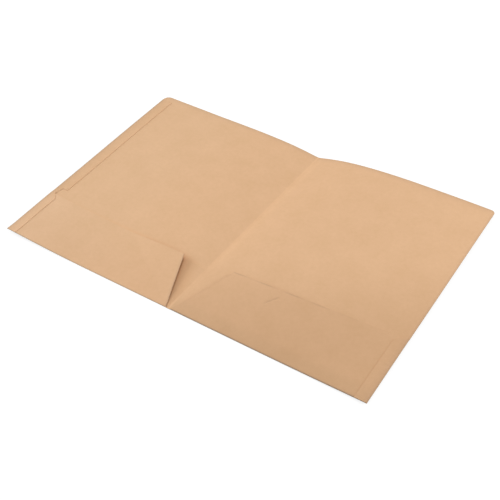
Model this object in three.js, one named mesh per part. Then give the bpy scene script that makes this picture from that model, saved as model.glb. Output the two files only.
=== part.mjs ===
// Kraft file folder lying open: two leaves on one creased spine, an inside pocket at the near end
// of each leaf, and a tab strip folded over along the outer edge of the back leaf.
// Millimetres. X runs across the open folder from back leaf to front leaf, Y along the spine
// from the pockets to the open end, Z up. The origin is under the middle of the open folder, on
// the table, and the spine's crease lies on the table at X = CREASE_X.
import * as THREE from 'three';

const SPINE_LENGTH = 298.5;
const BACK_WIDTH = 241.3;
const FRONT_WIDTH = 227;
const BOARD = 0.4;
// Air between two plies, and between the edges of two neighbouring solids.
const GAP = 0.3;
// Depth of a folded edge, from its outer line to where the flat sheets begin.
const BEND_DEPTH = 1.2;

// The near stretch of both leaves lies flat, and the board rises beyond it.
const FLAT_BAND = 10;
// How far above the table each leaf's far edge levels off, and how softly it gets there.
const BACK_RISE = 17;
const BACK_SOFTNESS = 80;
const FRONT_RISE = 14;
const FRONT_SOFTNESS = 55;
const FRONT_DROOP = 10.7;
// The outer edges curl up a little from here on.
const CURL_START = 100;
const BACK_CURL = 4.2;
const FRONT_CURL = 1.5;

// Width of the supple band beside the crease, at its near and far end.
const SUPPLE_NEAR = 2.4;
const SUPPLE_FAR = 50;

const BACK_CORNER_RADIUS = 8.5;
const FRONT_CORNER_RADIUS = 5;

// Height of each pocket at its free edge near the crease, and at its glued outer side.
const BACK_POCKET_INNER = 66.5;
const BACK_POCKET_OUTER = 73;
const FRONT_POCKET_INNER = 73.5;
const FRONT_POCKET_OUTER = 84;
// Distance of a pocket's free edge from the crease, at the bottom and at the top.
const POCKET_BOTTOM_INSET = 3.2;
const BACK_POCKET_TOP_INSET = 29.5;
const FRONT_POCKET_TOP_INSET = 31.5;
// How far each pocket's free corner stands off the leaf, and how far from the crease the pocket's
// upper edge comes to rest on it.
const BACK_MOUTH_LIFT = 5.5;
const FRONT_MOUTH_LIFT = 2;
const BACK_MOUTH_REACH = 115;
const FRONT_MOUTH_REACH = 190;

// The border folded in along the outer edge: a glue flap beside the pocket, and the tab strip
// beyond it, with a notch between them that leaves a narrow neck at the fold.
const FLAP_WIDTH = 13;
const FLAP_CHAMFER = 7;
const NECK_WIDTH = 5.5;
const NECK_LENGTH = 11;
const NECK_FLARE = 2.5;
const TAB_WIDTH = 15.5;
const TAB_END_MARGIN = 9;

const KRAFT = { color: 0xd9b48d, roughness: 0.9, metalness: 0 };
const KRAFT_FOLD = { color: 0xcfa77f, roughness: 0.9, metalness: 0 };

const PLY_STEP = BOARD + GAP;
const SHEET_START = BEND_DEPTH + GAP;
const RISE_LENGTH = SPINE_LENGTH - FLAT_BAND;
const CREASE_X = (BACK_WIDTH - FRONT_WIDTH) / 2;

const back = {
  side: -1,
  width: BACK_WIDTH,
  rise: BACK_RISE,
  softness: BACK_SOFTNESS,
  droop: 0,
  curl: BACK_CURL,
  cornerRadius: BACK_CORNER_RADIUS,
  pocketInner: BACK_POCKET_INNER,
  pocketOuter: BACK_POCKET_OUTER,
  pocketTopInset: BACK_POCKET_TOP_INSET,
  mouthLift: BACK_MOUTH_LIFT,
  mouthReach: BACK_MOUTH_REACH,
};

const front = {
  side: 1,
  width: FRONT_WIDTH,
  rise: FRONT_RISE,
  softness: FRONT_SOFTNESS,
  droop: FRONT_DROOP,
  curl: FRONT_CURL,
  cornerRadius: FRONT_CORNER_RADIUS,
  pocketInner: FRONT_POCKET_INNER,
  pocketOuter: FRONT_POCKET_OUTER,
  pocketTopInset: FRONT_POCKET_TOP_INSET,
  mouthLift: FRONT_MOUTH_LIFT,
  mouthReach: FRONT_MOUTH_REACH,
};

// Height of a leaf's underside. `out` is the distance from the crease and `along` the distance
// from the near edge. The rise is a cone whose point is where the flat band meets the crease.
function leafHeight(leaf, out, along) {
  const share = Math.max(along - FLAT_BAND, 0.001) / RISE_LENGTH;
  const rise = leaf.rise * share * (1 - Math.exp(-out / (share * leaf.softness)));
  const droop = leaf.droop * share * (out / leaf.width) ** 2;
  const curlShare = Math.max(out - CURL_START, 0) / (leaf.width - CURL_START);
  return rise - droop + leaf.curl * curlShare ** 2;
}

function suppleWidth(along) {
  const share = Math.max(along - FLAT_BAND, 0) / RISE_LENGTH;
  return SUPPLE_NEAR + (SUPPLE_FAR - SUPPLE_NEAR) * share;
}

// Evenly spaced values from start to end, both included.
function steps(start, end, count) {
  return Array.from({ length: count + 1 }, (_, i) => start + ((end - start) * i) / count);
}

function point(leaf, out, along, z) {
  return [CREASE_X + leaf.side * out, along - SPINE_LENGTH / 2, z];
}

// Solid from rings of points that all have the same count, closed by the two flat caps given as
// triangles of ring indices.
function loft(rings, capTriangles) {
  const size = rings[0].length;
  const positions = rings.flat(2);
  const indices = [];
  for (let r = 0; r + 1 < rings.length; r += 1) {
    for (let k = 0; k < size; k += 1) {
      const a = r * size + k;
      const b = r * size + ((k + 1) % size);
      indices.push(a, b, a + size, b, b + size, a + size);
    }
  }
  const last = (rings.length - 1) * size;
  for (const [a, b, c] of capTriangles) {
    indices.push(a, c, b);
    indices.push(last + a, last + b, last + c);
  }
  return facetedOutward(positions, indices);
}

// Indexed triangles as a geometry whose faces all point outward.
function facetedOutward(positions, indices) {
  let volume = 0;
  const corner = (i) => new THREE.Vector3().fromArray(positions, 3 * i);
  for (let i = 0; i < indices.length; i += 3) {
    const [a, b, c] = [corner(indices[i]), corner(indices[i + 1]), corner(indices[i + 2])];
    volume += a.dot(b.cross(c));
  }
  const turned = [];
  for (let i = 0; i < indices.length; i += 3) {
    turned.push(indices[i], indices[i + 2], indices[i + 1]);
  }
  const geometry = new THREE.BufferGeometry();
  geometry.setAttribute('position', new THREE.Float32BufferAttribute(positions, 3));
  geometry.setIndex(volume < 0 ? turned : indices);
  geometry.computeVertexNormals();
  return geometry;
}

function mix(a, b, share) {
  return a + (b - a) * share;
}

// A row of a sheet, straight from one [out, along] spot to another at the same distance along.
function rowAcross(along, inner, outer) {
  return { from: [inner, along], to: [outer, along] };
}

// One sheet of board over a leaf, ruled by its rows. `underside` gives the height of its lower
// face. Columns crowd towards the rows' start, where the board bends most.
function sheet(leaf, rows, columns, underside) {
  const shares = steps(0, 1, columns).map((s) => s ** 1.5);
  const rings = rows.map(({ from, to }) => {
    const spots = shares.map((s) => [mix(from[0], to[0], s), mix(from[1], to[1], s)]);
    const lower = spots.map(([out, along]) => point(leaf, out, along, underside(out, along)));
    const upper = lower.map(([x, y, z]) => [x, y, z + BOARD]);
    return [...lower, ...upper.reverse()];
  });
  const cap = [];
  for (let k = 0; k < columns; k += 1) {
    const above = 2 * columns + 1 - k;
    cap.push([k, k + 1, above], [k + 1, above - 1, above]);
  }
  return loft(rings, cap);
}

// Cross-section of a folded edge as [inset, height] points: two arms joined by a half round.
function bendProfile(plies) {
  const outerRadius = (plies * BOARD + (plies - 1) * GAP) / 2;
  const innerRadius = outerRadius - BOARD;
  const arc = (radius, turn) => [
    outerRadius - radius * Math.cos(turn),
    outerRadius + radius * Math.sin(turn),
  ];
  const turns = steps(-Math.PI / 2, Math.PI / 2, 6);
  return [
    [BEND_DEPTH, BOARD],
    ...turns.map((turn) => arc(innerRadius, turn)),
    [BEND_DEPTH, outerRadius + innerRadius],
    [BEND_DEPTH, 2 * outerRadius],
    ...turns.reverse().map((turn) => arc(outerRadius, turn)),
    [BEND_DEPTH, 0],
  ];
}

// Folded edge swept past the given stations. `place` turns a station, an inset and a height
// within the profile into a point.
function bend(stations, plies, place) {
  const profile = bendProfile(plies);
  const outline = profile.map(([inset, z]) => new THREE.Vector2(inset, z));
  const rings = stations.map((station) => profile.map(([inset, z]) => place(station, inset, z)));
  return loft(rings, THREE.ShapeUtils.triangulateShape(outline, []));
}

// Fold along a leaf's near edge, from the pocket's free edge to the outer corner.
function hem(leaf) {
  const stations = steps(POCKET_BOTTOM_INSET, leaf.width - SHEET_START, 16);
  return bend(stations, 2, (out, inset, z) => point(leaf, out, inset, leafHeight(leaf, out, 0) + z));
}

// Fold along a leaf's outer edge between two distances from the near edge.
function outerFold(leaf, start, end, plies, count) {
  const edge = leaf.width - SHEET_START;
  return bend(steps(start, end, count), plies, (along, inset, z) => {
    return point(leaf, leaf.width - inset, along, leafHeight(leaf, edge, along) + z);
  });
}

// Outer line of the flat board at a row, set back where a fold runs along the edge.
function leafOuter(leaf, along, foldEnd) {
  const cornerStart = SPINE_LENGTH - leaf.cornerRadius;
  if (along <= foldEnd) {
    return leaf.width - SHEET_START;
  }
  const past = Math.max(along - cornerStart, 0);
  return leaf.width - leaf.cornerRadius + Math.sqrt(leaf.cornerRadius ** 2 - past ** 2);
}

function cornerRows(leaf) {
  const turns = steps(0, Math.PI / 2, 6);
  return turns.map((turn) => SPINE_LENGTH - leaf.cornerRadius * (1 - Math.sin(turn)));
}

// Main board of a leaf, outside the supple band.
function leafBoard(leaf, foldEnd) {
  const alongs = [
    ...steps(SHEET_START, FLAT_BAND, 1),
    ...steps(FLAT_BAND, foldEnd, 12).slice(1),
    foldEnd + GAP,
  ];
  const corner = cornerRows(leaf).filter((along) => along > foldEnd + GAP);
  const between = corner[0] - foldEnd > 20 ? steps(foldEnd + GAP, corner[0], 12).slice(1, -1) : [];
  const rows = [...alongs, ...between, ...corner].map((along) => {
    return rowAcross(along, suppleWidth(along) + GAP / 2, leafOuter(leaf, along, foldEnd));
  });
  return sheet(leaf, rows, 14, (out, along) => leafHeight(leaf, out, along));
}

// Band beside the crease in which the board flexes when the folder is shut.
function suppleBand(leaf) {
  const alongs = [0, ...steps(FLAT_BAND, SPINE_LENGTH, 18)];
  const rows = alongs.map((along) => rowAcross(along, GAP / 2, suppleWidth(along) - GAP / 2));
  return sheet(leaf, rows, 4, (out, along) => leafHeight(leaf, out, along));
}

// Distance from the near edge of a pocket's upper edge.
function pocketTop(leaf, out) {
  const share = (out - leaf.pocketTopInset) / (leaf.width - leaf.pocketTopInset);
  return mix(leaf.pocketInner, leaf.pocketOuter, share);
}

// Distance from the crease of the line on which a pocket's mouth bends. It runs from the bottom
// of the free edge to where the upper edge comes to rest.
function mouthLine(leaf, along) {
  const share = along / pocketTop(leaf, leaf.mouthReach);
  return mix(POCKET_BOTTOM_INSET, leaf.mouthReach, share);
}

// Half the gap left on each side of the mouth's bending line, measured across the leaf.
function mouthLineClearance(leaf) {
  const slope = (leaf.mouthReach - POCKET_BOTTOM_INSET) / pocketTop(leaf, leaf.mouthReach);
  return (GAP / 2) * Math.hypot(1, slope);
}

function plyHeight(leaf, out, along, ply) {
  return leafHeight(leaf, out, along) + ply * PLY_STEP;
}

// Part of the pocket held by the hem and the glued side.
function pocketPanel(leaf) {
  const outer = leaf.width - SHEET_START;
  const clearance = mouthLineClearance(leaf);
  const top = pocketTop(leaf, leaf.mouthReach);
  const rows = steps(SHEET_START / top, 1, 10).map((share) => ({
    from: [mouthLine(leaf, share * top) + clearance, share * top],
    to: [outer, share * pocketTop(leaf, outer)],
  }));
  return sheet(leaf, rows, 14, (out, along) => plyHeight(leaf, out, along, 1));
}

// Part of the pocket beyond the bending line, whose inner corner stands off the leaf.
function pocketMouth(leaf) {
  const clearance = mouthLineClearance(leaf);
  const top = pocketTop(leaf, leaf.mouthReach);
  const offLine = (out, along) => mouthLine(leaf, along) - out;
  const cornerOffLine = offLine(leaf.pocketTopInset, leaf.pocketInner);
  const rows = steps(SHEET_START / leaf.pocketInner, 1, 10).map((share) => ({
    from: [mix(POCKET_BOTTOM_INSET, leaf.pocketTopInset, share), share * leaf.pocketInner],
    to: [mouthLine(leaf, share * top) - clearance, share * top],
  }));
  return sheet(leaf, rows, 12, (out, along) => {
    const lift = (leaf.mouthLift * offLine(out, along)) / cornerOffLine;
    return plyHeight(leaf, out, along, 1) + lift;
  });
}

// Glue flap over the pocket's outer side, cut slanting down to the neck at its upper end.
function glueFlap(leaf) {
  const outer = leaf.width - SHEET_START;
  const inner = leaf.width - FLAP_WIDTH;
  const rows = [
    ...steps(SHEET_START, leaf.pocketOuter - FLAP_CHAMFER, 4).map((along) => {
      return rowAcross(along, inner, outer);
    }),
    rowAcross(leaf.pocketOuter, leaf.width - NECK_WIDTH, outer),
  ];
  return sheet(leaf, rows, 3, (out, along) => plyHeight(leaf, out, along, 2));
}

// Strip folded over from the outer edge on to the leaf, which doubles the tab edge. It starts
// with the narrow neck above the pocket.
function tabStrip(leaf) {
  const outer = leaf.width - SHEET_START;
  const neckStart = leaf.pocketOuter + GAP;
  const neckEnd = leaf.pocketOuter + NECK_LENGTH;
  const rows = [
    rowAcross(neckStart, leaf.width - NECK_WIDTH, outer),
    rowAcross(neckEnd, leaf.width - NECK_WIDTH - NECK_FLARE, outer),
    ...steps(neckEnd + GAP, SPINE_LENGTH - TAB_END_MARGIN, 12).map((along) => {
      return rowAcross(along, leaf.width - TAB_WIDTH, outer);
    }),
  ];
  return sheet(leaf, rows, 3, (out, along) => plyHeight(leaf, out, along, 1));
}

function piece(name, geometry, finish) {
  const mesh = new THREE.Mesh(geometry, new THREE.MeshStandardMaterial(finish));
  mesh.name = name;
  return mesh;
}

// Pieces that both leaves have, named after their leaf.
function leafPieces(leaf, name, foldEnd) {
  return [
    piece(`${name}_leaf`, leafBoard(leaf, foldEnd), KRAFT),
    piece(`${name}_supple_band`, suppleBand(leaf), KRAFT),
    piece(`${name}_hem`, hem(leaf), KRAFT_FOLD),
    piece(`${name}_pocket_panel`, pocketPanel(leaf), KRAFT),
    piece(`${name}_pocket_mouth`, pocketMouth(leaf), KRAFT),
    piece(`${name}_flap_fold`, outerFold(leaf, 0, leaf.pocketOuter, 3, 6), KRAFT_FOLD),
    piece(`${name}_glue_flap`, glueFlap(leaf), KRAFT),
  ];
}

function tabPieces(leaf) {
  const start = leaf.pocketOuter + GAP;
  const end = SPINE_LENGTH - leaf.cornerRadius;
  return [
    piece('tab_fold', outerFold(leaf, start, end, 2, 14), KRAFT_FOLD),
    piece('tab_strip', tabStrip(leaf), KRAFT),
  ];
}

const folder = new THREE.Group();
folder.add(...leafPieces(back, 'back', SPINE_LENGTH - BACK_CORNER_RADIUS));
folder.add(...tabPieces(back));
folder.add(...leafPieces(front, 'front', FRONT_POCKET_OUTER));

export default folder;
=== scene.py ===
import math

import bpy
import numpy as np
from mathutils import Matrix, Vector


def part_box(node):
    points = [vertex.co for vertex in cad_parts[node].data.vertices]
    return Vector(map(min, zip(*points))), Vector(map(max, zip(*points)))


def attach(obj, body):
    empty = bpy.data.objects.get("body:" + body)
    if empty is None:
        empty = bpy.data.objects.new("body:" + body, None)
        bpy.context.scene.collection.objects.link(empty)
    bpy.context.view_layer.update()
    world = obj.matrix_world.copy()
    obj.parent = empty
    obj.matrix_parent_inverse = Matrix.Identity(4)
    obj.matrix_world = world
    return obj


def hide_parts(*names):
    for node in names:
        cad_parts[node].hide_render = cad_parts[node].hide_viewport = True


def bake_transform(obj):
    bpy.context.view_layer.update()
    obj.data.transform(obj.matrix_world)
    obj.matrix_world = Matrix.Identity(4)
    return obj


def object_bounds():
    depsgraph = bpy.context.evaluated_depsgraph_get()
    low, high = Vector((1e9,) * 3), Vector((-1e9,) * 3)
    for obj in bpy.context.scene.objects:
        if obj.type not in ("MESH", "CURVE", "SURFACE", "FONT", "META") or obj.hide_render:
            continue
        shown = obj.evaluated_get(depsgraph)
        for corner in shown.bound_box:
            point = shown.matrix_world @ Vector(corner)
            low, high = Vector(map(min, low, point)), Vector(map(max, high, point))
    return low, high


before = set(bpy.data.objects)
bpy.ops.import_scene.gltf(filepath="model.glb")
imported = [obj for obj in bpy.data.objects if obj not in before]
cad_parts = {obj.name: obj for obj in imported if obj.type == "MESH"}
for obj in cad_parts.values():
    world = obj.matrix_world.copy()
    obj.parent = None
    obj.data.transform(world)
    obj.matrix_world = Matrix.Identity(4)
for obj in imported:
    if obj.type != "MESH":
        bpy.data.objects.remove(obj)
cad_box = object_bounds()

MM = 0.001

# Board as in the frame. Its plies are pressed closer together than there.
BOARD = 0.4 * MM
GAP = 0.3 * MM
PLY_GAP = 0.08 * MM
PLY_STEP = BOARD + PLY_GAP
BEND_DEPTH = 1.2 * MM

# How the open leaves rise from the table, as in the frame. The rise starts where the flat band
# at the near edge ends, and the outer edges curl up from CURL_START on. LEAST_RISE_RUN keeps the
# rise's divisor above zero.
FLAT_BAND = 10 * MM
CURL_START = 100 * MM
LEAST_RISE_RUN = 0.001 * MM

# How far from the crease the pockets and their hems start, and their clearance from the part of
# the leaf that runs on to the near edge.
POCKET_BOTTOM_INSET = 3.2 * MM
HEM_CLEARANCE = 0.1 * MM

# The board beside the crease, which flexes when the folder is shut, is this wide at the near and
# the far edge, as in the frame. The leaf turns into it over a stretch that starts before that
# line and ends past it.
SUPPLE_NEAR = 2.4 * MM
SUPPLE_FAR = 50 * MM
SUPPLE_BLEND_BEFORE = 30 * MM
SUPPLE_BLEND_PAST = 1.1 * MM

# The mouth of a pocket bends over this stretch, measured off its bending line.
MOUTH_BEND_START = -2 * MM
MOUTH_BEND_END = 14 * MM

# The slight undulation of the board: the distances in which its waves turn by one radian, their
# heights, and how far from the crease and the near edge they are full.
WAVE_ACROSS = 31 * MM
WAVE_ALONG = 43 * MM
WAVE_HEIGHT = 0.16 * MM
RIPPLE_ACROSS = 13 * MM
RIPPLE_ALONG = 29 * MM
RIPPLE_HEIGHT = 0.05 * MM
WAVY_FROM_CREASE = 40 * MM
WAVY_FROM_NEAR_EDGE = 60 * MM

# The folded border and its notch, as in the frame.
FLAP_WIDTH = 13 * MM
FLAP_CHAMFER = 7 * MM
NECK_WIDTH = 5.5 * MM
NECK_LENGTH = 11 * MM
NECK_FLARE = 2.5 * MM
TAB_WIDTH = 15.5 * MM
TAB_STEP = 0.3 * MM
TAB_END_MARGIN = 9 * MM
# Where the border comes down from the pocket to the leaf, measured from the pocket's upper end.
STEP_DOWN_START = -1 * MM
STEP_DOWN_END = 4 * MM

# Wear, from 0 to 1, of a leaf's edges, and wear with painted shade beside the border's fold, and how
# they fade out.
OUTER_EDGE_WEAR = 0.3
FAR_EDGE_WEAR = 0.42
FAR_EDGE_REACH = 2.8 * MM
BESIDE_FOLD_WEAR_AND_SHADE = 0.6
BESIDE_FOLD_REACH = 3 * MM
# How much closer the border's free edge is pressed to the leaf.
PRESSED_EDGE = 0.05 * MM

# A slight pinched crease in the front pocket. Its ends are given by their distances from the
# crease and the near edge.
PINCH_START = (80.5 * MM, 50.5 * MM)
PINCH_END = (93 * MM, 69 * MM)
PINCH_DEPTH = 0.35 * MM
PINCH_WIDTH = 1.2 * MM
PINCH_WEAR = 0.2
# Shares of the pinch's length over which it deepens and runs out.
PINCH_FADE_IN = 0.4
PINCH_FADE_OUT = 0.25

# How far the painted shade along the back pocket's free edge reaches in from it.
FREE_EDGE_SHADE_REACH = 0.7 * MM

# Patches of painted shade on the front pocket's upper edge, from the crease outward.
SHADE_PATCH = 5 * MM
SHADE_PATCH_FADE_START = 100 * MM
SHADE_PATCH_FADE_END = 190 * MM

# Half the width of the strip that carries the crease, and the groove scored in it.
CREASE_HALF = 1.2 * MM
SCORE_DEPTH = 0.03 * MM
SCORE_WIDTH = 0.5 * MM
# How softly the leaves turn up from the crease.
CREASE_SOFTNESS = 2.5 * MM
# Faces that meet at more than this angle form a crisp edge.
RIM_ANGLE = math.radians(50)

# How finely the boards are meshed. Lines crowd toward the crease and the folds by a power.
LEAF_ROWS = 118
LEAF_COLUMNS = 104
LEAF_CROWDING = 1.25
BESIDE_CREASE_COLUMNS = 3
CORNER_ROWS = 12
CREASE_ROWS = 150
CREASE_COLUMNS = 13
POCKET_ROWS = 40
POCKET_ROW_CROWDING = 1.1
POCKET_COLUMNS = 110
POCKET_COLUMN_CROWDING = 1.3
HEM_ARM_ROWS = 3
HEM_BEND_ROWS = 13
FLAP_ROWS = 30
CHAMFER_ROWS = 8
NECK_ROWS = 10
TAB_ROWS = 84
BORDER_COLUMNS = 12
BORDER_BEND_COLUMNS = 11
# Extra lines in the front pocket, between these shares of its width and height, for the pinch.
PINCH_LINES = 44
PINCH_ACROSS = (0.28, 0.4)
PINCH_UP = (0.66, 0.94)
# Half the step between the two rows where the outer line leaves the fold.
ROW_STEP_HALF = 0.02 * MM
# Rows closer together than this count of decimals of a metre are one row.
ROW_DECIMALS = 7

NEAR_Y = cad_box[0][1]
SPINE_LENGTH = cad_box[1][1] - cad_box[0][1]
RISE_LENGTH = SPINE_LENGTH - FLAT_BAND
CREASE_X = (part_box("back_supple_band")[1][0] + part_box("front_supple_band")[0][0]) / 2

# The two leaves. The pocket's upper edge runs from its free corner, pocket_top_inset from the
# crease and pocket_inner from the near edge, to pocket_outer at the leaf's outer edge. It lifts
# off the leaf from mouth_reach inward. Wear and painted shade run from 0 to 1: painted shade
# alone on the pocket's free and upper edges, wear with painted shade at the folds.
BACK = {
    "name": "back",
    "side": -1,
    "width": CREASE_X - cad_box[0][0],
    "rise": 17 * MM,
    "softness": 80 * MM,
    "droop": 0,
    "curl": 4.2 * MM,
    "corner_radius": 8.5 * MM,
    "pocket_inner": 66.5 * MM,
    "pocket_top_inset": 29.5 * MM,
    "pocket_outer": 73 * MM,
    "mouth_lift": 5.5 * MM,
    "mouth_reach": 115 * MM,
    "wave_phase": 0.6,
    "free_edge_shade": 0.9,
    "near_fold_wear_and_shade": 0.4,
    "side_fold_wear_and_shade": 0.8,
    "top_edge_shade": 0,
}

FRONT = {
    "name": "front",
    "side": 1,
    "width": cad_box[1][0] - CREASE_X,
    "rise": 14 * MM,
    "softness": 55 * MM,
    "droop": 10.7 * MM,
    "curl": 1.5 * MM,
    "corner_radius": 5 * MM,
    "pocket_inner": 73.5 * MM,
    "pocket_top_inset": 31.5 * MM,
    "pocket_outer": 84 * MM,
    "mouth_lift": 2 * MM,
    "mouth_reach": 190 * MM,
    "wave_phase": 2.3,
    "free_edge_shade": 0,
    "near_fold_wear_and_shade": 0.9,
    "side_fold_wear_and_shade": 0.35,
    "top_edge_shade": 0.4,
}

BACK["fold_end"] = SPINE_LENGTH - BACK["corner_radius"]
FRONT["fold_end"] = FRONT["pocket_outer"]


# Shape of the leaves

def leaf_height(leaf, out, along):
    """Height of a leaf's underside, from the distances to the crease and to the near edge."""
    share = np.maximum(along - FLAT_BAND, LEAST_RISE_RUN) / RISE_LENGTH
    eased = np.hypot(out, CREASE_SOFTNESS) - CREASE_SOFTNESS
    rise = leaf["rise"] * share * (1 - np.exp(-eased / (share * leaf["softness"])))
    droop = leaf["droop"] * share * (out / leaf["width"]) ** 2
    curl = np.maximum(out - CURL_START, 0) / (leaf["width"] - CURL_START)
    return rise - droop + leaf["curl"] * curl**2 + waviness(leaf, out, along)


def waviness(leaf, out, along):
    """Slight undulation that no sheet of board is free of, fading out at the crease and hem."""
    phase = leaf["wave_phase"]
    wave = np.sin(out / WAVE_ACROSS + phase) * np.sin(along / WAVE_ALONG + 2 * phase)
    ripple = np.sin(out / RIPPLE_ACROSS + along / RIPPLE_ALONG + 3 * phase)
    fade = np.clip(out / WAVY_FROM_CREASE, 0, 1) * np.clip(along / WAVY_FROM_NEAR_EDGE, 0, 1)
    return fade * (WAVE_HEIGHT * (1 + wave) + RIPPLE_HEIGHT * (1 + ripple))


def world_points(leaf, out, along, z):
    """Points in the frame's axes, with x, y and z along the last axis of the array."""
    x = CREASE_X + leaf["side"] * out
    y = NEAR_Y + along
    return np.stack(np.broadcast_arrays(x, y, z), axis=-1)


def mix(a, b, share):
    """From a at share 0 to b at share 1."""
    return a + (b - a) * share


def smooth(value, low, high):
    """0 before low, 1 after high, and a smooth turn between them."""
    t = np.clip((value - low) / (high - low), 0, 1)
    return t * t * (3 - 2 * t)


# Meshes

def mesh_object(name, points, faces, materials, face_slots, uvs, wear_and_shade):
    """A smooth object that carries the flat board's coordinates as UVs, and its wear and painted
    shade at folds and edges.
    """
    mesh = bpy.data.meshes.new(name)
    mesh.from_pydata(points.tolist(), [], faces)
    for material in materials:
        mesh.materials.append(material)
    mesh.polygons.foreach_set("material_index", face_slots)
    layer = mesh.uv_layers.new(name="BoardUV")
    corners = np.empty(len(mesh.loops), dtype=np.int32)
    mesh.loops.foreach_get("vertex_index", corners)
    layer.data.foreach_set("uv", uvs[corners].astype(np.float32).ravel())
    wear_and_shade_data = mesh.attributes.new("FoldWearAndShade", "FLOAT", "POINT")
    wear_and_shade_data.data.foreach_set("value", wear_and_shade.astype(np.float32))
    mesh.update()
    mesh.polygons.foreach_set("use_smooth", [True] * len(mesh.polygons))
    mesh.set_sharp_from_angle(angle=RIM_ANGLE)
    obj = bpy.data.objects.new(name, mesh)
    bpy.context.scene.collection.objects.link(obj)
    return obj


def board_from_grid(name, lower, upper, uvs, materials, wear_and_shade=0):
    """A solid sheet from two grids of points that lie a board's thickness apart."""
    rows, columns = lower.shape[:2]
    wear_and_shade = np.broadcast_to(wear_and_shade, (rows, columns))
    count = rows * columns
    points = np.concatenate([lower.reshape(-1, 3), upper.reshape(-1, 3)])
    flat_uvs = np.concatenate([uvs.reshape(-1, 2), uvs.reshape(-1, 2)])
    index = np.arange(count).reshape(rows, columns)
    faces = []
    slots = []
    for r in range(rows - 1):
        for c in range(columns - 1):
            a, b = int(index[r, c]), int(index[r, c + 1])
            d, e = int(index[r + 1, c]), int(index[r + 1, c + 1])
            faces.append((a, b, e, d))
            faces.append((count + a, count + d, count + e, count + b))
            slots += [0, 0]
    border = [*index[0, :], *index[1:, -1], *index[-1, -2::-1], *index[-2:0:-1, 0]]
    for a, b in zip(border, border[1:] + border[:1]):
        faces.append((int(a), count + int(a), count + int(b), int(b)))
        slots.append(1)
    wear_and_shade_data = np.tile(wear_and_shade.ravel(), 2)
    obj = mesh_object(name, points, faces, materials, slots, flat_uvs, wear_and_shade_data)
    face_outward(obj)
    return obj


def face_outward(obj):
    """Turns the faces outward, so that the solid's volume comes out positive."""
    mesh = obj.data
    mesh.calc_loop_triangles()
    volume = 0.0
    for triangle in mesh.loop_triangles:
        a, b, c = (mesh.vertices[i].co for i in triangle.vertices)
        volume += a.dot(b.cross(c))
    if volume < 0:
        mesh.flip_normals()


# Parts of the folder

def leaf_rows(leaf):
    """Distances along the spine at which a leaf's rows lie, close together at its corner."""
    corner_start = SPINE_LENGTH - leaf["corner_radius"]
    plain = np.linspace(BEND_DEPTH, corner_start, LEAF_ROWS)
    turns = np.linspace(0, math.pi / 2, CORNER_ROWS)[1:]
    corner = corner_start + leaf["corner_radius"] * np.sin(turns)
    step = [leaf["fold_end"] - ROW_STEP_HALF, leaf["fold_end"] + ROW_STEP_HALF]
    rows = np.concatenate([plain, corner, step])
    return np.unique(np.round(rows, ROW_DECIMALS))


def leaf_outer(leaf, along):
    """Outer line of the unfolded board, set back where the border folds over it."""
    past = np.maximum(along - (SPINE_LENGTH - leaf["corner_radius"]), 0)
    radius = leaf["corner_radius"]
    rounded = leaf["width"] - radius + np.sqrt(np.maximum(radius**2 - past**2, 0))
    return np.where(along <= leaf["fold_end"], leaf["width"] - BEND_DEPTH, rounded)


def make_leaf(leaf, materials):
    """The main board of a leaf, from the crease strip to its outer line."""
    along = leaf_rows(leaf)[:, None]
    hem_side = POCKET_BOTTOM_INSET - HEM_CLEARANCE
    share = np.linspace(0, 1, LEAF_COLUMNS)[None, :] ** LEAF_CROWDING
    beyond = mix(hem_side, leaf_outer(leaf, along), share)
    beside = np.linspace(CREASE_HALF, hem_side - GAP, BESIDE_CREASE_COLUMNS)[None, :]
    out = np.concatenate([np.repeat(beside, len(along), axis=0), beyond], axis=1)
    along = np.repeat(along, out.shape[1], axis=1)
    # Beside the crease the leaf runs on to the near edge, where the rest has its hem.
    along[0, :beside.shape[1]] = 0
    base = world_points(leaf, out, along, leaf_height(leaf, out, along))
    uvs = np.stack(np.broadcast_arrays(leaf["side"] * out, along), axis=-1)
    upper = base + np.array([0, 0, BOARD])
    wear_and_shade = FAR_EDGE_WEAR * np.exp((along - SPINE_LENGTH) / FAR_EDGE_REACH)
    wear_and_shade[:, -1] = np.maximum(wear_and_shade[:, -1], OUTER_EDGE_WEAR)
    return board_from_grid(f"{leaf['name']}_leaf_board", base, upper, uvs, materials, wear_and_shade)


def make_crease(materials):
    """The scored strip that joins the two leaves."""
    along = np.linspace(0, SPINE_LENGTH, CREASE_ROWS)[:, None]
    x = np.linspace(-CREASE_HALF, CREASE_HALF, CREASE_COLUMNS)[None, :]
    out = np.abs(x)
    height = np.where(x < 0, leaf_height(BACK, out, along), leaf_height(FRONT, out, along))
    score = -SCORE_DEPTH * np.exp(-((x / SCORE_WIDTH) ** 2))
    y = NEAR_Y + along
    base = np.stack(np.broadcast_arrays(CREASE_X + x, y, height), axis=-1)
    upper = base + np.stack(np.broadcast_arrays(0 * x, 0 * y, BOARD + score), axis=-1)
    uvs = np.stack(np.broadcast_arrays(x, along), axis=-1)
    return board_from_grid("spine_crease_board", base, upper, uvs, materials)


def pocket_top(leaf, out):
    """Distance from the near edge of a pocket's upper edge."""
    share = (out - leaf["pocket_top_inset"]) / (leaf["width"] - leaf["pocket_top_inset"])
    return mix(leaf["pocket_inner"], leaf["pocket_outer"], share)


def mouth_line(leaf, along):
    """Distance from the crease of the line on which a pocket's mouth bends."""
    share = along / pocket_top(leaf, leaf["mouth_reach"])
    return mix(POCKET_BOTTOM_INSET, leaf["mouth_reach"], share)


def off_mouth_line(leaf, out, along):
    """Distance from the line on which the pocket's mouth bends, positive on the mouth's side."""
    rise = pocket_top(leaf, leaf["mouth_reach"])
    slant = rise / math.hypot(leaf["mouth_reach"] - POCKET_BOTTOM_INSET, rise)
    return (mouth_line(leaf, along) - out) * slant


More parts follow.
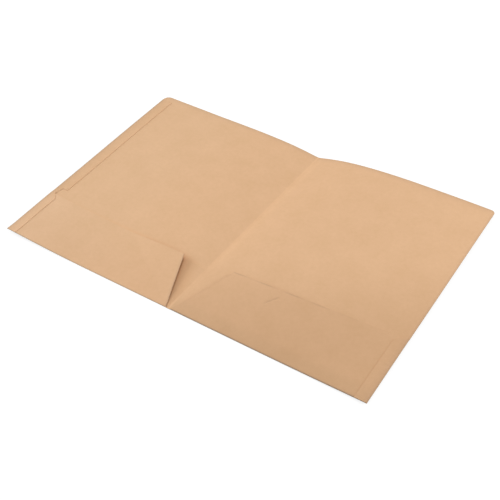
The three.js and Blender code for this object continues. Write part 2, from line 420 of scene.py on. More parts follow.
def mouth_lift(leaf, out, along):
    """How far the pocket stands off the leaf. It is the lift that closing the folder takes away."""
    off_line = np.maximum(off_mouth_line(leaf, out, along), 0)
    corner = off_mouth_line(leaf, leaf["pocket_top_inset"], leaf["pocket_inner"])
    share = smooth(off_line, MOUTH_BEND_START, MOUTH_BEND_END)
    return leaf["mouth_lift"] * share * off_line / corner


def pinch(leaf, out, along):
    """How far a point lies in the pinched crease, from 0 to 1. Only the front pocket has one."""
    run = (PINCH_END[0] - PINCH_START[0], PINCH_END[1] - PINCH_START[1])
    length = math.hypot(*run)
    across, up = out - PINCH_START[0], along - PINCH_START[1]
    share = (across * run[0] + up * run[1]) / length**2
    off_line = (across * run[1] - up * run[0]) / length
    fade = smooth(share, 0, PINCH_FADE_IN) * smooth(1 - share, 0, PINCH_FADE_OUT)
    return (leaf is FRONT) * fade * np.exp(-((off_line / PINCH_WIDTH) ** 2))


def upper_edge_shade_patches(out):
    """How much painted shade a pocket's upper edge gets, in patches that fade out from the crease.
    """
    patches = 0.5 + 0.5 * np.sin(out / SHADE_PATCH)
    return patches * (1 - smooth(out, SHADE_PATCH_FADE_START, SHADE_PATCH_FADE_END))


def pocket_shares(leaf):
    """Where a pocket's columns and rows lie, as shares of its width and height."""
    columns = np.linspace(0, 1, POCKET_COLUMNS) ** POCKET_COLUMN_CROWDING
    rows = np.linspace(0, 1, POCKET_ROWS)[1:] ** POCKET_ROW_CROWDING
    if leaf is FRONT:
        columns = np.unique(np.concatenate([columns, np.linspace(*PINCH_ACROSS, PINCH_LINES)]))
        rows = np.unique(np.concatenate([rows, np.linspace(*PINCH_UP, PINCH_LINES)]))
    return columns[None, :], rows[:, None]


def make_pocket(leaf, materials):
    """Hem and pocket in one sheet: under the leaf's edge, round the fold and up over the leaf."""
    columns, rise = pocket_shares(leaf)
    radius = (PLY_STEP + BOARD) / 2
    turns = np.linspace(-math.pi / 2, math.pi / 2, HEM_BEND_ROWS)[:, None]
    outer = leaf["width"] - BEND_DEPTH

    bottom_out = mix(POCKET_BOTTOM_INSET, outer, columns)
    top_out = mix(leaf["pocket_top_inset"], outer, columns)
    top_along = mix(leaf["pocket_inner"], leaf["pocket_outer"], columns)
    seat = leaf_height(leaf, bottom_out, 0 * columns + radius)

    out = mix(bottom_out, top_out, rise)
    along = mix(radius, top_along, rise)
    plane = leaf_height(leaf, out, along) + PLY_STEP + BOARD + mouth_lift(leaf, out, along)
    pinched = pinch(leaf, out, along)
    plane = plane - PINCH_DEPTH * pinched

    arm = np.linspace(BEND_DEPTH, radius, HEM_ARM_ROWS)[:-1, None]

    def profile(turn_radius, depth):
        """Grid of the sheet's outer or inner face, from under the leaf to the upper edge."""
        return np.concatenate([
            world_points(leaf, bottom_out, arm, seat + depth + 0 * arm),
            world_points(leaf, bottom_out, radius - turn_radius * np.cos(turns),
                         seat + radius + turn_radius * np.sin(turns)),
            world_points(leaf, out, along, plane - depth),
        ])

    outside = profile(radius, 0)
    inside = profile(radius - BOARD, BOARD)
    fold_rows = len(arm) + len(turns)
    # The hem's fold carries wear and painted shade.
    fold_wear_and_shade = np.full((fold_rows, columns.shape[1]), leaf["near_fold_wear_and_shade"])
    # Painted shade along the back pocket's free edge.
    free_edge = leaf["free_edge_shade"] * np.exp((out[:, :1] - out) / FREE_EDGE_SHADE_REACH)
    wear_and_shade = np.concatenate([fold_wear_and_shade, np.maximum(PINCH_WEAR * pinched, free_edge)])
    # Painted shade, in patches, along the front pocket's upper edge.
    wear_and_shade[-1, :] = leaf["top_edge_shade"] * upper_edge_shade_patches(out[-1, :])
    uvs = np.concatenate([
        np.stack(np.broadcast_arrays(leaf["side"] * bottom_out, arm), axis=-1),
        np.stack(np.broadcast_arrays(leaf["side"] * bottom_out, radius * turns), axis=-1),
        np.stack(np.broadcast_arrays(leaf["side"] * out, -along), axis=-1),
    ])
    return board_from_grid(f"{leaf['name']}_pocket_board", inside, outside, uvs, materials, wear_and_shade)


def border_level(leaf, along):
    """Height of the border strip in plies above the leaf: two over the pocket, one beyond it."""
    top = leaf["pocket_outer"]
    return 2 - smooth(along, top + STEP_DOWN_START, top + STEP_DOWN_END)


def border_rows(leaf, end):
    """Pairs of distance along and strip width for the folded border's rows."""
    top = leaf["pocket_outer"]
    flap = [(a, FLAP_WIDTH) for a in np.linspace(0, top - FLAP_CHAMFER, FLAP_ROWS)]
    slant = [(top - FLAP_CHAMFER * (1 - s), mix(FLAP_WIDTH, NECK_WIDTH, s))
             for s in np.linspace(0, 1, CHAMFER_ROWS)[1:]]
    if end <= top:
        return flap + slant
    neck = [(top + NECK_LENGTH * s, NECK_WIDTH + NECK_FLARE * s)
            for s in np.linspace(0, 1, NECK_ROWS)[1:]]
    tab_start = top + NECK_LENGTH + TAB_STEP
    tab = [(a, TAB_WIDTH) for a in np.linspace(tab_start, end - TAB_END_MARGIN, TAB_ROWS)]
    return flap + slant + neck + tab


def make_border(leaf, end, materials):
    """The border folded in along a leaf's outer edge: its fold, glue flap and tab strip."""
    rows = border_rows(leaf, end)
    along = np.array([a for a, _ in rows])[:, None]
    strip = np.array([w for _, w in rows])[:, None]
    edge = leaf["width"]
    radius = (border_level(leaf, along) * PLY_STEP + BOARD) / 2
    seat = leaf_height(leaf, edge - BEND_DEPTH, along)
    turns = np.linspace(-math.pi / 2, math.pi / 2, BORDER_BEND_COLUMNS)[None, :]
    across = np.linspace(0, 1, BORDER_COLUMNS)[None, 1:]

    def profile(turn_radius, lift):
        """Grid of the strip's inner or outer face, from under the leaf's edge to the cut edge."""
        under = world_points(leaf, edge - BEND_DEPTH + 0 * along, along, seat + radius - turn_radius)
        bend = world_points(leaf, edge - radius + turn_radius * np.cos(turns), along,
                            seat + radius + turn_radius * np.sin(turns))
        out = edge - mix(radius, strip, across)
        face = leaf_height(leaf, np.minimum(out, edge - BEND_DEPTH), along)
        face = face + border_level(leaf, along) * PLY_STEP + lift
        face[:, -1] -= PRESSED_EDGE
        return np.concatenate([under, bend, world_points(leaf, out, along, face)], axis=1)

    inside = profile(radius - BOARD, 0)
    outside = profile(radius, BOARD)
    inset = np.concatenate([
        -BEND_DEPTH + 0 * along,
        np.broadcast_to(radius * turns, (len(rows), turns.shape[1])),
        mix(radius, strip, across),
    ], axis=1)
    uvs = np.stack(np.broadcast_arrays(leaf["side"] * (edge + inset), along), axis=-1)
    # The border's fold and the strip beside it carry wear and painted shade.
    fold = np.ones((len(rows), turns.shape[1] + 1))
    beside = BESIDE_FOLD_WEAR_AND_SHADE * np.exp(-across * strip / BESIDE_FOLD_REACH)
    wear_and_shade = leaf["side_fold_wear_and_shade"] * np.concatenate([fold, beside], axis=1)
    return board_from_grid(f"{leaf['name']}_border_board", inside, outside, uvs, materials, wear_and_shade)


# Materials

class Nodes:
    """Adds shader nodes to a material or world and links them by socket name."""

    def __init__(self, owner):
        owner.use_nodes = True
        self.tree = owner.node_tree
        self.tree.nodes.clear()

    def add(self, kind, settings=None, **inputs):
        """A node with its settings and inputs. An input's underscores stand for spaces."""
        node = self.tree.nodes.new(kind)
        for key, value in (settings or {}).items():
            setattr(node, key, value)
        for key, value in inputs.items():
            self.put(node, key.replace("_", " "), value)
        return node

    def put(self, node, socket, value):
        """Links a socket to the input, or sets the input to a plain value."""
        if isinstance(value, bpy.types.NodeSocket):
            self.tree.links.new(value, node.inputs[socket])
        else:
            node.inputs[socket].default_value = value

    def math(self, operation, a, b=0.0, clamp=False):
        """A calculation with sockets or plain numbers."""
        node = self.add("ShaderNodeMath", {"operation": operation, "use_clamp": clamp})
        self.put(node, 0, a)
        self.put(node, 1, b)
        return node.outputs[0]

    def excess(self, value, threshold, gain):
        """How far value lies above threshold, times gain, held between 0 and 1."""
        above = self.math("SUBTRACT", value, threshold, clamp=True)
        return self.math("MULTIPLY", above, gain, clamp=True)

    def opposite(self, share):
        """What is left of 1."""
        return self.math("SUBTRACT", 1.0, share)

    def noise(self, vector, scale, detail, roughness, distortion=0.0):
        """Cloudy noise between 0 and 1."""
        node = self.add("ShaderNodeTexNoise", Vector=vector, Scale=scale, Detail=detail,
                        Roughness=roughness, Distortion=distortion)
        return node.outputs["Fac"]

    def stretch(self, vector, x, y):
        """Coordinates scaled by x and y."""
        node = self.add("ShaderNodeMapping", Vector=vector)
        node.inputs["Scale"].default_value = (x, y, 1)
        return node.outputs["Vector"]

    def ramp(self, value, stops):
        """Colour ramp through pairs of position and colour."""
        node = self.add("ShaderNodeValToRGB", Fac=value)
        elements = node.color_ramp.elements
        while len(elements) < len(stops):
            elements.new(0.5)
        for element, (position, color) in zip(elements, stops):
            element.position = position
            element.color = (*color, 1)
        return node.outputs["Color"]

    def blend(self, share, a, b, mode="MIX"):
        """Blends two colours. They are the Mix node's inputs 6 and 7, and its output 2."""
        node = self.add("ShaderNodeMix", {"data_type": "RGBA", "blend_type": mode})
        self.put(node, 0, share)
        self.put(node, 6, a)
        self.put(node, 7, b)
        return node.outputs[2]

    def tint(self, color, tone, share):
        """Multiplies the colour by a tone, as far as share says."""
        return self.blend(share, color, (*tone, 1), "MULTIPLY")

    def ease(self, value, low, high):
        """0 up to low, 1 from high on, and a smooth turn between them."""
        node = self.add("ShaderNodeMapRange", {"interpolation_type": "SMOOTHSTEP"}, Value=value,
                        From_Min=low, From_Max=high)
        return node.outputs["Result"]

    def surface(self, **inputs):
        """Ends the material in a principled shader with these inputs."""
        shader = self.add("ShaderNodeBsdfPrincipled", **inputs)
        self.add("ShaderNodeOutputMaterial", Surface=shader.outputs["BSDF"])


def linear(red, green, blue):
    """Linear colour from sRGB values of 0 to 255, by the sRGB standard's formula."""
    def channel(value):
        value /= 255
        return value / 12.92 if value <= 0.04045 else ((value + 0.055) / 1.055) ** 2.4
    return (channel(red), channel(green), channel(blue))


# Colours of the board, its fibres and its cut edges. Each cut edge has three, dark to light.
KRAFT = linear(225, 182, 141)
KRAFT_DARK = linear(222, 179, 137)
KRAFT_LIGHT = linear(228, 185, 144)
FIBRE_DARK = linear(203, 160, 119)
FIBRE_LIGHT = linear(234, 196, 158)
CUT_TONES = (linear(170, 132, 99), linear(190, 152, 118), linear(210, 174, 139))
# The pale cut edge is the same edge with painted light, which softens the shade line along the
# folded border.
PALE_CUT_TONES = (linear(212, 172, 134), linear(222, 182, 144), linear(232, 193, 156))

# The board's noises. Scales are in cells per millimetre, with those of the fibres and flecks
# given across and along the crease. Shares and stops are parts of a noise's range.
CLOUD_SCALE = 0.035
CLOUD_SHARE = 0.55
MOTTLE_SCALE = 0.22
MOTTLE_SHARE = 0.45
BOARD_STOPS = (0.34, 0.5, 0.66)
FIBRE_SCALES = (3.2, 0.55)
CROSS_FIBRE_SCALES = (0.6, 2.6)
FIBRE_START = 0.6
DARK_FIBRE_GAIN = 2.6
LIGHT_FIBRE_GAIN = 2.4
FLECK_SCALES = (0.5, 0.22)
FLECK_RADIUS = 0.085
FLECK_GAIN = 6
GRAIN_SCALE = 2.4
STREAK_SCALE = 1.6
STREAK_STOPS = (0.3, 0.5, 0.75)

# Bump, roughness and gloss of the board and its cut edge. Both are matt.
BOARD_BUMP = 0.35
BOARD_BUMP_DEPTH = 0.12 * MM
LEAST_ROUGHNESS = 0.74
ROUGHNESS_SPAN = 0.16
BOARD_SPECULAR = 0.3
CUT_BUMP = 0.5
CUT_BUMP_DEPTH = 0.1 * MM
CUT_ROUGHNESS = 0.95
CUT_SPECULAR = 0.2

# Dull tone of the stretched and rubbed fibres on a fold, which also paints shade on the folds' rims
# and the pockets' edges, and how far it takes over there.
FOLD_WEAR_AND_SHADE_TONE = linear(150, 124, 102)
FOLD_WEAR_AND_SHADE = 0.8

# Tones multiply the board's colour. All their distances are in millimetres.
PLAIN_TONE = (1, 1, 1)
BORDER_TONE = (0.97, 0.975, 0.975)
# Painted shade dims the whole back pocket a little.
BACK_POCKET_SHADE_TONE = (0.989, 0.989, 0.989)

# Painted shade deepens the lower part of the back pocket, from LOW_TOP down.
LOW_POCKET_SHADE_TONE = (0.978, 0.97, 0.97)
LOW_TOP = 68
LOW_SPAN = 62

# The front pocket's painted shade fades out between two distances from the crease.
FRONT_POCKET_SHADE_TONE = (0.962, 0.952, 0.947)
POCKET_TONE_START = 90
POCKET_TONE_END = 300

# Painted light pales the crease and the front leaf beside it, fully beyond CREASE_PALE_FROM from
# the near edge.
CREASE_LIGHT_TONE = (1.04, 1.04, 1.04)
BESIDE_CREASE_LIGHT_TONE = (1.035, 1.035, 1.03)
BESIDE_CREASE_SPAN = 15
CREASE_PALE_FROM = 50

# Painted shade deepens the front half toward the near edge. The shade sets in DEEPENING_START
# from that edge, and farther from it by DEEPENING_SLANT for each step out from the crease. It is
# full after DEEPENING_SPAN, and fades at the crease.
DEEP_SHADE_TONE = (0.862, 0.843, 0.82)
DEEPENING_START = 80
DEEPENING_SLANT = 0.66
DEEPENING_SPAN = 165
CREASE_FADE_START = -10
CREASE_FADE_END = 12

# Its last stretch before the near fold has a deeper painted shade still.
NEAR_FOLD_SHADE_TONE = (0.95, 0.955, 0.95)
NEAR_FOLD_START = 22
NEAR_FOLD_SPAN = 14

# The back half's colour turns a little cooler outward, between two distances from the crease.
COOLER_OUTWARD_TONE = (0.99, 1.012, 1.03)
COOLER_START = 50
COOLER_END = 180

# Its near outer corner is paler and cooler, from PALE_START outward and up to PALE_TOP.
PALE_TONE = (1.055, 1.08, 1.13)
PALE_START = 160
PALE_END = 262
PALE_TOP = 86
PALE_FADE = 24

# Painted shade darkens the leaf inside the back pocket. The shaded part's side runs just before
# the pocket's free edge: COVERED_INSET from the crease at the near edge, and farther from it by
# COVERED_SLANT for each step along.
COVERED_SHADE_TONE = (0.5, 0.4, 0.3)
COVERED_INSET = 1.2
COVERED_SLANT = 0.415
COVERED_TOP = 68
COVERED_FADE = 3

# The leaf before that side carries a warm painted shade, and at the foot of the free edge a darker
# painted shade as well.
WARM_SHADE_TONE = (1, 0.95, 0.9)
WARM_REACH = 24
WARM_TOP = 76
WARM_FADE = 10
FOOT_SHADE_TONE = (0.92, 0.925, 0.935)
FOOT_START = 10
FOOT_END = 48

# Painted light pales the leaf beyond the back pocket's upper edge, which runs
# UPPER_EDGE_START from the near edge at the crease. The painted light fades out between two
# distances from the crease.
UPPER_EDGE_LIGHT_TONE = (1.024, 1.024, 1.024)
UPPER_EDGE_LIGHT_BEFORE = 2
UPPER_EDGE_LIGHT_REACH = 7
UPPER_EDGE_LIGHT_FADE_START = 80
UPPER_EDGE_LIGHT_FADE_END = 150
UPPER_EDGE_RISE = BACK["pocket_outer"] - BACK["pocket_inner"]
UPPER_EDGE_SLANT = UPPER_EDGE_RISE / (BACK["width"] - BACK["pocket_top_inset"])
UPPER_EDGE_START = (BACK["pocket_inner"] - BACK["pocket_top_inset"] * UPPER_EDGE_SLANT) / MM


def board_coordinates(nodes):
    """The flat board's own coordinates, in millimetres."""
    uv = nodes.add("ShaderNodeUVMap", {"uv_map": "BoardUV"}).outputs["UV"]
    return nodes.stretch(uv, 1000, 1000)


# A look changes the board's colour by the distances out from the crease and along it.

def plain_look(nodes, across, along, color):
    """Leaves the colour as it is."""
    return color


def crease_light_look(nodes, across, along, color):
    """Paints light on the crease, from the near edge on."""
    return nodes.tint(color, CREASE_LIGHT_TONE, nodes.ease(along, 0, CREASE_PALE_FROM))


def front_light_and_shade_look(nodes, across, along, color):
    """Paints shade on the front half toward the near edge and before its near fold, and light beside
    the crease.
    """
    start = nodes.math("ADD", nodes.math("MULTIPLY", across, DEEPENING_SLANT), DEEPENING_START)
    deep = nodes.ease(nodes.math("SUBTRACT", start, along), 0, DEEPENING_SPAN)
    aside = nodes.ease(across, CREASE_FADE_START, CREASE_FADE_END)
    near = nodes.ease(nodes.math("SUBTRACT", NEAR_FOLD_START, along), 0, NEAR_FOLD_SPAN)
    beside = nodes.ease(nodes.math("SUBTRACT", BESIDE_CREASE_SPAN, across), 0, BESIDE_CREASE_SPAN)
    beside = nodes.math("MULTIPLY", beside, nodes.ease(along, 0, CREASE_PALE_FROM))
    color = nodes.tint(color, DEEP_SHADE_TONE, nodes.math("MULTIPLY", deep, aside))
    color = nodes.tint(color, BESIDE_CREASE_LIGHT_TONE, beside)
    return nodes.tint(color, NEAR_FOLD_SHADE_TONE, near)


def front_pocket_shade_look(nodes, across, along, color):
    """The front pocket's painted shade, over the painted light and shade of the front half."""
    outward = nodes.ease(across, POCKET_TONE_START, POCKET_TONE_END)
    color = nodes.tint(color, FRONT_POCKET_SHADE_TONE, nodes.opposite(outward))
    return front_light_and_shade_look(nodes, across, along, color)


def pale_corner_look(nodes, across, along, color):
    """Pales the colour at the near outer corner."""
    outward = nodes.ease(across, PALE_START, PALE_END)
    below = nodes.ease(nodes.math("SUBTRACT", PALE_TOP, along), 0, PALE_FADE)
    return nodes.tint(color, PALE_TONE, nodes.math("MULTIPLY", outward, below))


def cooler_outward(nodes, across, color):
    """Turns the back half's colour a little cooler outward."""
    return nodes.tint(color, COOLER_OUTWARD_TONE, nodes.ease(across, COOLER_START, COOLER_END))


def back_pocket_look(nodes, across, along, color):
    """Paints shade on the back pocket's lower part, turns it cooler outward and pales its outer
    corner.
    """
    below = nodes.ease(nodes.math("SUBTRACT", LOW_TOP, along), 0, LOW_SPAN)
    color = nodes.tint(color, LOW_POCKET_SHADE_TONE, below)
    return pale_corner_look(nodes, across, along, cooler_outward(nodes, across, color))


def upper_edge_light(nodes, across, along, color):
    """Paints light on the leaf just beyond the back pocket's upper edge, most near the crease."""
    edge = nodes.math("ADD", nodes.math("MULTIPLY", across, UPPER_EDGE_SLANT), UPPER_EDGE_START)
    beyond = nodes.math("SUBTRACT", along, edge)
    reached = nodes.ease(beyond, -UPPER_EDGE_LIGHT_BEFORE, 0)
    close = nodes.math("SUBTRACT", reached, nodes.ease(beyond, 0, UPPER_EDGE_LIGHT_REACH))
    inward = nodes.opposite(nodes.ease(across, UPPER_EDGE_LIGHT_FADE_START, UPPER_EDGE_LIGHT_FADE_END))
    return nodes.tint(color, UPPER_EDGE_LIGHT_TONE, nodes.math("MULTIPLY", close, inward))


def beside_free_edge(nodes, across, along, color):
    """Paints shade on the leaf behind the back pocket's free edge, and warm shade before that edge.
    """
    side = nodes.math("ADD", nodes.math("MULTIPLY", along, COVERED_SLANT), COVERED_INSET)
    behind = nodes.ease(nodes.math("SUBTRACT", across, side), 0, COVERED_FADE)
    covered = nodes.ease(nodes.math("SUBTRACT", COVERED_TOP, along), 0, 2 * COVERED_FADE)
    color = nodes.tint(color, COVERED_SHADE_TONE, nodes.math("MULTIPLY", behind, covered))
    before = nodes.ease(nodes.math("SUBTRACT", across, side), -WARM_REACH, 0)
    warm = nodes.ease(nodes.math("SUBTRACT", WARM_TOP, along), 0, WARM_FADE)
    color = nodes.tint(color, WARM_SHADE_TONE, nodes.math("MULTIPLY", before, warm))
    foot = nodes.opposite(nodes.ease(along, FOOT_START, FOOT_END))
    return nodes.tint(color, FOOT_SHADE_TONE, nodes.math("MULTIPLY", before, foot))


def back_leaf_look(nodes, across, along, color):
    """Turns the back leaf cooler outward, and paints light and shade on it around its pocket."""
    color = upper_edge_light(nodes, across, along, cooler_outward(nodes, across, color))
    return beside_free_edge(nodes, across, along, color)


def kraft_board(name, tone, look=plain_look):
    """Unbleached board: cloudy tone, fine fibres running mostly along the spine, small flecks."""
    material = bpy.data.materials.new(name)
    nodes = Nodes(material)
    board = board_coordinates(nodes)

    cloud = nodes.noise(board, CLOUD_SCALE, detail=3, roughness=0.55)
    mottle = nodes.noise(board, MOTTLE_SCALE, detail=4, roughness=0.6)
    patches = nodes.math("ADD", nodes.math("MULTIPLY", cloud, CLOUD_SHARE),
                         nodes.math("MULTIPLY", mottle, MOTTLE_SHARE))
    color = nodes.ramp(patches, list(zip(BOARD_STOPS, (KRAFT_DARK, KRAFT, KRAFT_LIGHT))))

    fibres = nodes.noise(nodes.stretch(board, *FIBRE_SCALES), 1,
                         detail=3, roughness=0.65, distortion=0.9)
    cross_fibres = nodes.noise(nodes.stretch(board, *CROSS_FIBRE_SCALES), 1,
                               detail=3, roughness=0.6, distortion=1.2)
    dark_share = nodes.excess(fibres, FIBRE_START, DARK_FIBRE_GAIN)
    light_share = nodes.excess(cross_fibres, FIBRE_START, LIGHT_FIBRE_GAIN)
    color = nodes.blend(dark_share, color, (*FIBRE_DARK, 1))
    color = nodes.blend(light_share, color, (*FIBRE_LIGHT, 1))

    flecks = nodes.add("ShaderNodeTexVoronoi", {"feature": "F1"},
                       Vector=nodes.stretch(board, *FLECK_SCALES), Scale=1, Randomness=1)
    fleck_share = nodes.excess(FLECK_RADIUS, flecks.outputs["Distance"], FLECK_GAIN)
    color = nodes.blend(fleck_share, color, (*FIBRE_DARK, 1))

    place = nodes.add("ShaderNodeSeparateXYZ", Vector=board).outputs
    across = nodes.math("ABSOLUTE", place["X"])
    along = nodes.math("ABSOLUTE", place["Y"])
    color = look(nodes, across, along, nodes.tint(color, tone, 1))

    # The fold attribute adds the wear of folds and edges, and painted shade on fold rims and pocket
    # edges.
    wear_and_shade = nodes.add("ShaderNodeAttribute", {"attribute_name": "FoldWearAndShade"}).outputs["Fac"]
    color = nodes.blend(nodes.math("MULTIPLY", wear_and_shade, FOLD_WEAR_AND_SHADE), color, (*FOLD_WEAR_AND_SHADE_TONE, 1))

    grain = nodes.noise(board, GRAIN_SCALE, detail=4, roughness=0.7)
    height = nodes.math("ADD", nodes.math("MULTIPLY", fibres, 0.5),
                        nodes.math("MULTIPLY", grain, 0.5))
    bump = nodes.add("ShaderNodeBump", Strength=BOARD_BUMP, Distance=BOARD_BUMP_DEPTH,
                     Height=height)
    rough = nodes.math("ADD", nodes.math("MULTIPLY", grain, ROUGHNESS_SPAN), LEAST_ROUGHNESS)
    nodes.surface(Base_Color=color, Roughness=rough, Normal=bump.outputs["Normal"],
                  Specular_IOR_Level=BOARD_SPECULAR)
    return material


def kraft_cut_edge(name, tones):
    """The die-cut edge: duller, with the layers of fibres showing as fine streaks."""
    material = bpy.data.materials.new(name)
    nodes = Nodes(material)
    board = board_coordinates(nodes)
    streaks = nodes.noise(board, STREAK_SCALE, detail=4, roughness=0.7)
    color = nodes.ramp(streaks, list(zip(STREAK_STOPS, tones)))
    bump = nodes.add("ShaderNodeBump", Strength=CUT_BUMP, Distance=CUT_BUMP_DEPTH, Height=streaks)
    nodes.surface(Base_Color=color, Roughness=CUT_ROUGHNESS, Normal=bump.outputs["Normal"],
                  Specular_IOR_Level=CUT_SPECULAR)
    return material


# Putting the pieces on their bodies

def dress():
    """Makes every piece, hides the parts that it stands for and ties the borders to their bodies."""
    edge = kraft_cut_edge("kraft_cut_edge", CUT_TONES)
    pale_edge = kraft_cut_edge("kraft_pale_cut_edge", PALE_CUT_TONES)
    leaf_look = {
        "back": [kraft_board("kraft_back_leaf", PLAIN_TONE, back_leaf_look), edge],
        "front": [kraft_board("kraft_front_leaf", PLAIN_TONE, front_light_and_shade_look), edge],
    }
    pocket_look = {
        "back": [kraft_board("kraft_back_pocket", BACK_POCKET_SHADE_TONE, back_pocket_look), edge],
        "front": [kraft_board("kraft_front_pocket", PLAIN_TONE, front_pocket_shade_look), edge],
    }
    for leaf in (BACK, FRONT):
        name = leaf["name"]
        board = make_leaf(leaf, leaf_look[name])
        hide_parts(f"{name}_leaf", f"{name}_supple_band")
        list(supple_span(leaf))
        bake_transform(board)

        pocket = make_pocket(leaf, pocket_look[name])
        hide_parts(f"{name}_hem", f"{name}_pocket_panel", f"{name}_pocket_mouth")
        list(mouth_span(leaf))
        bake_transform(pocket)

    crease = make_crease([kraft_board("kraft_crease", PLAIN_TONE, crease_light_look), edge])
    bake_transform(crease)

    border = [kraft_board("kraft_border", BORDER_TONE, pale_corner_look), pale_edge]
    tab = make_border(BACK, SPINE_LENGTH, border)
    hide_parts("back_flap_fold", "back_glue_flap", "tab_fold", "tab_strip")
    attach(tab, "back")
    flap = make_border(FRONT, 0, [pocket_look["front"][0], pale_edge])
    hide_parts("front_flap_fold", "front_glue_flap")
    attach(flap, "front")


def supple_span(leaf):
    """Start and end of the stretch in which a leaf turns into the board beside the crease."""
    near = Vector(world_points(leaf, SUPPLE_NEAR, FLAT_BAND, 0.0))
    far = Vector(world_points(leaf, SUPPLE_FAR, SPINE_LENGTH, 0.0))
    inward = Vector((-leaf["side"], 0, 0))
    line = (far - near).normalized()
    inward = (inward - line * inward.dot(line)).normalized()
    return near - inward * SUPPLE_BLEND_BEFORE, near + inward * SUPPLE_BLEND_PAST


def mouth_span(leaf):
    """Start and end of the stretch in which a pocket turns into its free corner."""
    bottom = Vector(world_points(leaf, POCKET_BOTTOM_INSET, 0.0, 0.0))
    reach = leaf["mouth_reach"]
    top = Vector(world_points(leaf, reach, pocket_top(leaf, reach), 0.0))
    corner = Vector(world_points(leaf, leaf["pocket_top_inset"], leaf["pocket_inner"], 0.0))
    line = (top - bottom).normalized()
    away = corner - bottom
    away = (away - line * away.dot(line)).normalized()
    return bottom + away * MOUTH_BEND_START, bottom + away * MOUTH_BEND_END


# Camera, lights and ground

CAMERA_AZIMUTH = math.radians(38.53)
CAMERA_ELEVATION = math.radians(42.18)
CAMERA_DISTANCE = 825.2 * MM
CAMERA_TARGET = Vector((29.6, -34.3, 0)) * MM
CAMERA_ROLL = -0.101
CAMERA_LENS_MM = 54.37
CAMERA_SENSOR_MM = 36
CAMERA_CLIP_START = 10 * MM

# The white world is the soft fill at SKY_LEVEL, and two square lamps shape the light.
SKY_LEVEL = 0.487
LAMP_SIZE = 1.2
LEFT_LAMP_PLACE = (-1.7, -0.4, 0.6)
LEFT_LAMP_WATTS = 26
RIGHT_LAMP_PLACE = (1.5, 0.9, 1.0)
RIGHT_LAMP_WATTS = 23.5

# The ground lies just under the folder. It is a dim white with a glow of its own, which keeps the
# folder's soft shadow. Beyond the folder the glow rises, so that it meets the white world unseen.
GROUND_SIZE = 12
GROUND_DROP = 0.05 * MM
GROUND_WHITE = 0.28
GROUND_GLOW = 0.8
FAR_GLOW = 1.0
FAR_START = 0.45
FAR_END = 1.3


def add_camera():
    """The camera at the photograph's viewing angle."""
    level = math.cos(CAMERA_ELEVATION)
    back = Vector((
        math.sin(CAMERA_AZIMUTH) * level,
        -math.cos(CAMERA_AZIMUTH) * level,
        math.sin(CAMERA_ELEVATION),
    ))
    right = (-back).cross(Vector((0, 0, 1))).normalized()
    up = right.cross(-back)
    rolled_right = right * math.cos(CAMERA_ROLL) + up * math.sin(CAMERA_ROLL)
    rolled_up = up * math.cos(CAMERA_ROLL) - right * math.sin(CAMERA_ROLL)
    data = bpy.data.cameras.new("photo_camera")
    data.lens = CAMERA_LENS_MM
    data.sensor_width = CAMERA_SENSOR_MM
    data.clip_start = CAMERA_CLIP_START
    camera = bpy.data.objects.new("photo_camera", data)
    bpy.context.scene.collection.objects.link(camera)
    turn = Matrix((rolled_right, rolled_up, back)).transposed().to_4x4()
    camera.matrix_world = Matrix.Translation(CAMERA_TARGET + back * CAMERA_DISTANCE) @ turn
    bpy.context.scene.camera = camera


def add_lamp(name, place, watts):
    """A soft square lamp aimed at the middle of the folder."""
    data = bpy.data.lights.new(name, "AREA")
    data.shape = "SQUARE"
    data.size = LAMP_SIZE
    data.energy = watts
    lamp = bpy.data.objects.new(name, data)
    bpy.context.scene.collection.objects.link(lamp)
    lamp.location = place
    lamp.rotation_euler = (-Vector(place)).to_track_quat("-Z", "Y").to_euler()


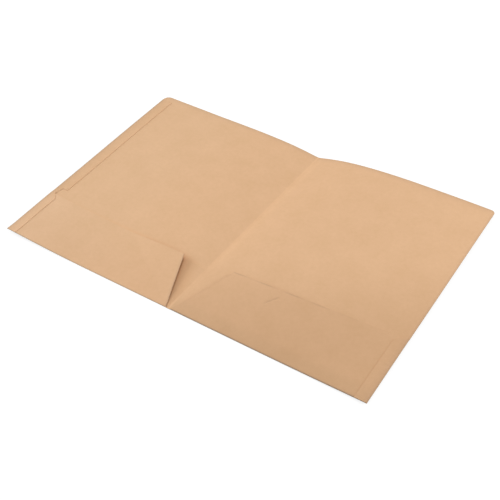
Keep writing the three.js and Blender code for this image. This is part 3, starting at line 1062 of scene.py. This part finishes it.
def seen_directly(nodes):
    """1 for what the camera sees, straight or by a mirror or glass, and 0 for the light cast."""
    path = nodes.add("ShaderNodeLightPath").outputs
    mirrored = nodes.math("MAXIMUM", path["Is Glossy Ray"], path["Is Transmission Ray"])
    return nodes.math("MAXIMUM", path["Is Camera Ray"], mirrored)


def add_ground():
    """White ground that fades into the white world, and keeps the folder's soft shadow."""
    material = bpy.data.materials.new("white_ground")
    nodes = Nodes(material)
    place = nodes.add("ShaderNodeNewGeometry").outputs["Position"]
    distance = nodes.add("ShaderNodeVectorMath", {"operation": "LENGTH"}, Vector=place)
    far = nodes.ease(distance.outputs["Value"], FAR_START, FAR_END)
    rise = nodes.math("MULTIPLY", far, FAR_GLOW - GROUND_GLOW)
    glow = nodes.math("ADD", rise, GROUND_GLOW)
    glow = nodes.math("MULTIPLY", glow, seen_directly(nodes))
    lit = nodes.add("ShaderNodeBsdfDiffuse", Color=(GROUND_WHITE, GROUND_WHITE, GROUND_WHITE, 1))
    bright = nodes.add("ShaderNodeEmission", Color=(1, 1, 1, 1), Strength=glow)
    both = nodes.add("ShaderNodeAddShader")
    nodes.put(both, 0, lit.outputs["BSDF"])
    nodes.put(both, 1, bright.outputs["Emission"])
    nodes.add("ShaderNodeOutputMaterial", Surface=both.outputs["Shader"])
    bpy.ops.mesh.primitive_plane_add(size=GROUND_SIZE, location=(0, 0, -GROUND_DROP))
    ground = bpy.context.object
    ground.name = "ground"
    ground.data.materials.append(material)


def set_world():
    """White all round; its light is the soft fill."""
    world = bpy.data.worlds.new("white_room")
    bpy.context.scene.world = world
    nodes = Nodes(world)
    seen = seen_directly(nodes)
    strength = nodes.math("ADD", nodes.math("MULTIPLY", seen, 1 - SKY_LEVEL), SKY_LEVEL)
    background = nodes.add("ShaderNodeBackground", Color=(1, 1, 1, 1), Strength=strength)
    nodes.add("ShaderNodeOutputWorld", Surface=background.outputs["Background"])


def set_stage():
    """Camera, ground, world and lamps."""
    add_camera()
    add_ground()
    set_world()
    add_lamp("left_softbox", LEFT_LAMP_PLACE, LEFT_LAMP_WATTS)
    add_lamp("right_softbox", RIGHT_LAMP_PLACE, RIGHT_LAMP_WATTS)
    bpy.context.scene.view_settings.view_transform = "Standard"


set_stage()
dress()
